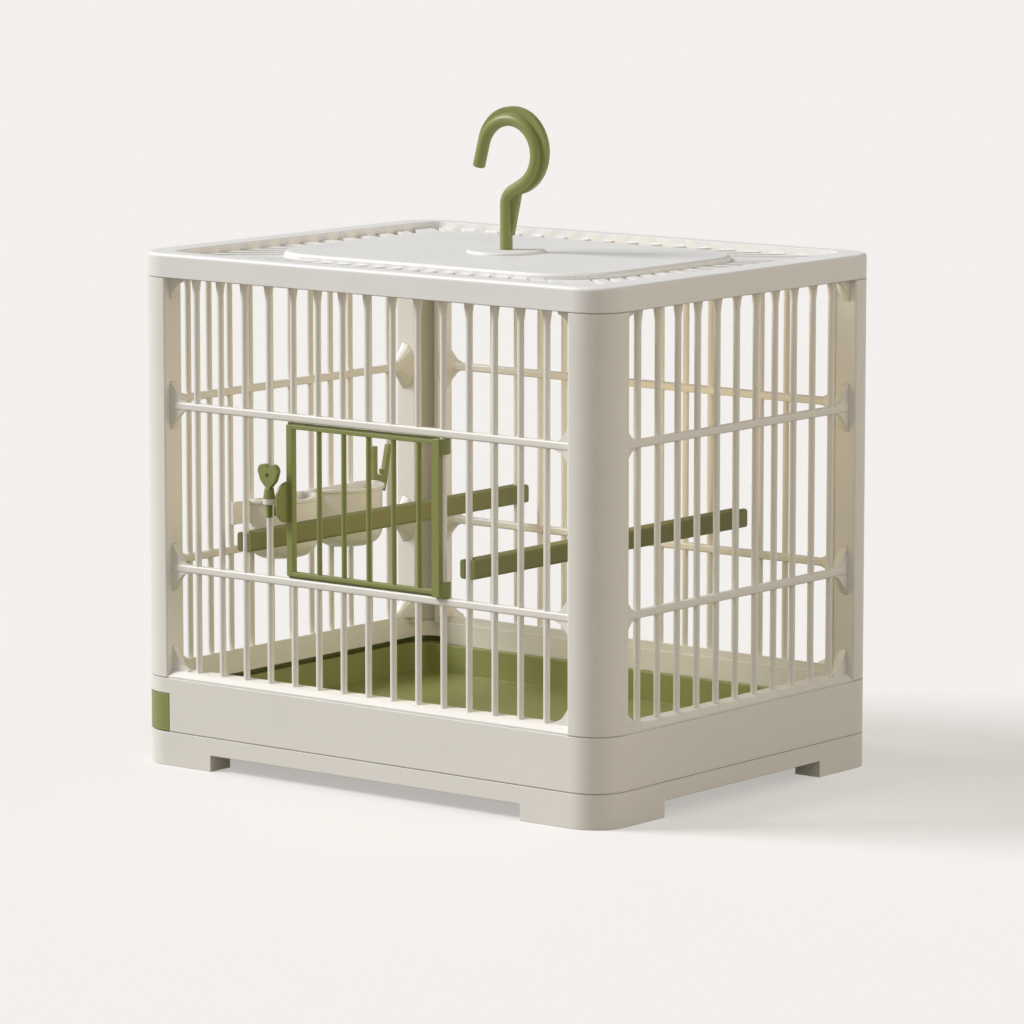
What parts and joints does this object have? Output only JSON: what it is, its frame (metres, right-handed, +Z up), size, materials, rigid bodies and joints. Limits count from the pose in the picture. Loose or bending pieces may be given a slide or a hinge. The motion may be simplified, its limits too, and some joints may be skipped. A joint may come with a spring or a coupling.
{
  "type": "bird cage",
  "caption": "Moulded plastic bird cage with a swing door and turning latch, slide-out tray, perches, feeder cups, food clip and a swivelling hanging hook.",
  "frame": {"origin": "middle of the cage's plan, on the standing surface under the feet", "axes": "+Z up, along the hook's stem; +X along the width; the front with the door faces -Y and the tray comes out towards -X"},
  "size_m": [0.3, 0.2349, 0.3353],
  "materials": {
    "base_cream": "fine satin moulding texture",
    "frame_cream": "fine satin moulding texture",
    "lattice_cream": "smooth satin",
    "roof_cream": "fine satin moulding texture",
    "cup_cream": "smooth, half gloss",
    "hook_green": "satin",
    "retainer_cream": "satin",
    "door_green": "satin",
    "tray_green": "satin with a fine grain",
    "perch_green": "satin",
    "clip_green": "satin"
  },
  "bodies": {
    "cage": {"foot_frame": "base_cream", "base_skirt": "base_cream", "corner_post_front_left": "frame_cream", "corner_post_front_right": "frame_cream", "corner_post_back_left": "frame_cream", "corner_post_back_right": "frame_cream", "front_panel": "lattice_cream", "back_panel": "lattice_cream", "left_panel": "lattice_cream", "right_panel": "lattice_cream", "roof": "roof_cream"},
    "hook": {"hook": "hook_green", "hook_retainer": "retainer_cream"},
    "door": {"door": "door_green"},
    "latch": {"latch_pin": "door_green"},
    "tray": {"tray": "tray_green"},
    "perch_left": {"perch_left": "perch_green"},
    "perch_right": {"perch_right": "perch_green"},
    "cup_front": {"feeder_cup_front": "cup_cream"},
    "cup_back": {"feeder_cup_back": "cup_cream"},
    "food_clip": {"food_clip": "clip_green"}
  },
  "joints": [
    {"name": "door_hinge", "type": "hinge", "parent": "cage", "child": "door", "pos_m": [0.048, -0.1093, 0.1429], "axis": [0, 0, 1], "range_deg": [0, 150]},
    {"name": "latch_turn", "type": "hinge", "parent": "cage", "child": "latch", "pos_m": [-0.058, -0.1167, 0.1424], "axis": [0, 0, 1], "range_deg": [0, 180]},
    {"name": "tray_slide", "type": "slide", "parent": "cage", "child": "tray", "axis": [-1, 0, 0], "range_m": [0, 0.24]},
    {"name": "hook_swivel", "type": "hinge", "parent": "cage", "child": "hook", "pos_m": [0, 0, 0.262], "axis": [0, 0, 1], "continuous": true},
    {"name": "perch_left_height", "type": "slide", "parent": "cage", "child": "perch_left", "axis": [0, 0, 1], "range_m": [-0.01, 0.055]},
    {"name": "perch_right_height", "type": "slide", "parent": "cage", "child": "perch_right", "axis": [0, 0, 1], "range_m": [-0.01, 0.055]},
    {"name": "cup_front_lift", "type": "slide", "parent": "cage", "child": "cup_front", "axis": [0, 0, 1], "range_m": [0, 0.015]},
    {"name": "cup_back_lift", "type": "slide", "parent": "cage", "child": "cup_back", "axis": [0, 0, 1], "range_m": [0, 0.015]},
    {"name": "food_clip_slide", "type": "slide", "parent": "cage", "child": "food_clip", "axis": [0, 0, 1], "range_m": [-0.012, 0.03]}
  ]
}
